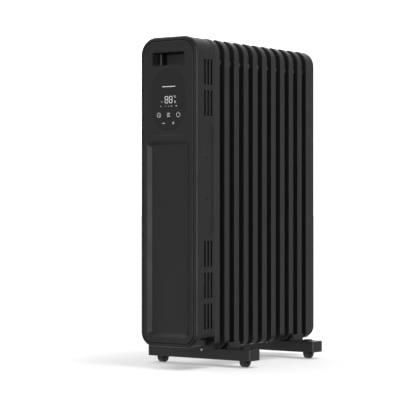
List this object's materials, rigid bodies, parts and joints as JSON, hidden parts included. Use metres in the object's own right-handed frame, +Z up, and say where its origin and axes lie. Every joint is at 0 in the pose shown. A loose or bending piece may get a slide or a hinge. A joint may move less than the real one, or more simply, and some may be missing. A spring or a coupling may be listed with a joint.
{
  "type": "oil filled radiator heater",
  "caption": "Tall narrow oil filled radiator with a row of flanged fins behind a control casing with a grip pocket and touch panel, on two foot bars with swivel casters.",
  "frame": {"origin": "centre of the footprint, on the floor under the casters", "axes": "+Z up, -Y towards the control panel, fins stacked along +Y, +X to the right of someone facing the panel"},
  "size_m": [0.2468, 0.4342, 0.6395],
  "materials": {
    "fin_steel": "black powder coat",
    "bare_steel": "zinc plated",
    "casing_plastic": "fine textured black moulding",
    "panel_plastic": "satin black moulding",
    "trim_plastic": "semi gloss black",
    "pocket_plastic": "satin black moulding",
    "lens_plastic": "smooth dark touch lens",
    "bar_steel": "black powder coat",
    "wheel_plastic": "hard black nylon",
    "fork_plastic": "black nylon",
    "board": "solder resist",
    "component": "moulded component",
    "element_steel": "drawn tube",
    "contact_brass": "turned",
    "grommet_rubber": "soft moulding"
  },
  "bodies": {
    "radiator": {"bar_bolts": "bare_steel", "board_screws": "bare_steel", "buzzer": "component", "cable_gland": "grommet_rubber", "control_board": "board", "display_module": "component", "element_flange": "contact_brass", "fin_01": "fin_steel", "fin_02": "fin_steel", "fin_03": "fin_steel", "fin_04": "fin_steel", "fin_05": "fin_steel", "fin_06": "fin_steel", "fin_07": "fin_steel", "fin_08": "fin_steel", "fin_09": "fin_steel", "fin_10": "fin_steel", "fin_11": "fin_steel", "foot_bar_front": "bar_steel", "foot_bar_rear": "bar_steel", "front_panel": "panel_plastic", "grip_pocket": "pocket_plastic", "header_plugs": "bare_steel", "heat_shield": "bare_steel", "heating_element_left": "element_steel", "heating_element_right": "element_steel", "housing_shell": "casing_plastic", "ir_receiver": "component", "lower_nipples": "fin_steel", "power_board": "board", "rear_cover": "fin_steel", "relays": "component", "room_sensor": "component", "screw_caps": "casing_plastic", "swivel_caps": "fork_plastic", "terminal_block": "component", "thermal_cutout": "contact_brass", "tilt_switch_body": "component", "touch_lens": "lens_plastic", "touch_springs": "bare_steel", "transformer": "component", "trim_ring": "trim_plastic", "u_bolts": "bare_steel", "upper_nipples": "fin_steel", "wing_nuts": "bare_steel"},
    "caster_front_left": {"caster_fork_front_left": "fork_plastic", "caster_axle_front_left": "bare_steel"},
    "wheel_front_left": {"caster_wheel_front_left": "wheel_plastic"},
    "caster_front_right": {"caster_fork_front_right": "fork_plastic", "caster_axle_front_right": "bare_steel"},
    "wheel_front_right": {"caster_wheel_front_right": "wheel_plastic"},
    "caster_rear_left": {"caster_fork_rear_left": "fork_plastic", "caster_axle_rear_left": "bare_steel"},
    "wheel_rear_left": {"caster_wheel_rear_left": "wheel_plastic"},
    "caster_rear_right": {"caster_fork_rear_right": "fork_plastic", "caster_axle_rear_right": "bare_steel"},
    "wheel_rear_right": {"caster_wheel_rear_right": "wheel_plastic"},
    "tilt_weight": {"tilt_pendulum": "component"}
  },
  "joints": [
    {"name": "swivel_front_left", "type": "hinge", "parent": "radiator", "child": "caster_front_left", "pos_m": [-0.099, -0.0984, 0.03], "axis": [0, 0, 1], "continuous": true},
    {"name": "roll_front_left", "type": "hinge", "parent": "caster_front_left", "child": "wheel_front_left", "pos_m": [-0.099, -0.0969, 0.0125], "axis": [1, 0, 0], "continuous": true},
    {"name": "swivel_front_right", "type": "hinge", "parent": "radiator", "child": "caster_front_right", "pos_m": [0.099, -0.0984, 0.03], "axis": [0, 0, 1], "continuous": true},
    {"name": "roll_front_right", "type": "hinge", "parent": "caster_front_right", "child": "wheel_front_right", "pos_m": [0.099, -0.0969, 0.0125], "axis": [1, 0, 0], "continuous": true},
    {"name": "swivel_rear_left", "type": "hinge", "parent": "radiator", "child": "caster_rear_left", "pos_m": [-0.099, 0.1375, 0.03], "axis": [0, 0, 1], "continuous": true},
    {"name": "roll_rear_left", "type": "hinge", "parent": "caster_rear_left", "child": "wheel_rear_left", "pos_m": [-0.099, 0.139, 0.0125], "axis": [1, 0, 0], "continuous": true},
    {"name": "swivel_rear_right", "type": "hinge", "parent": "radiator", "child": "caster_rear_right", "pos_m": [0.099, 0.1375, 0.03], "axis": [0, 0, 1], "continuous": true},
    {"name": "roll_rear_right", "type": "hinge", "parent": "caster_rear_right", "child": "wheel_rear_right", "pos_m": [0.099, 0.139, 0.0125], "axis": [1, 0, 0], "continuous": true},
    {"name": "tilt_swing", "type": "hinge", "parent": "radiator", "child": "tilt_weight", "pos_m": [0.012, -0.19, 0.076], "axis": [0, 1, 0], "range_deg": [-25, 25]}
  ]
}
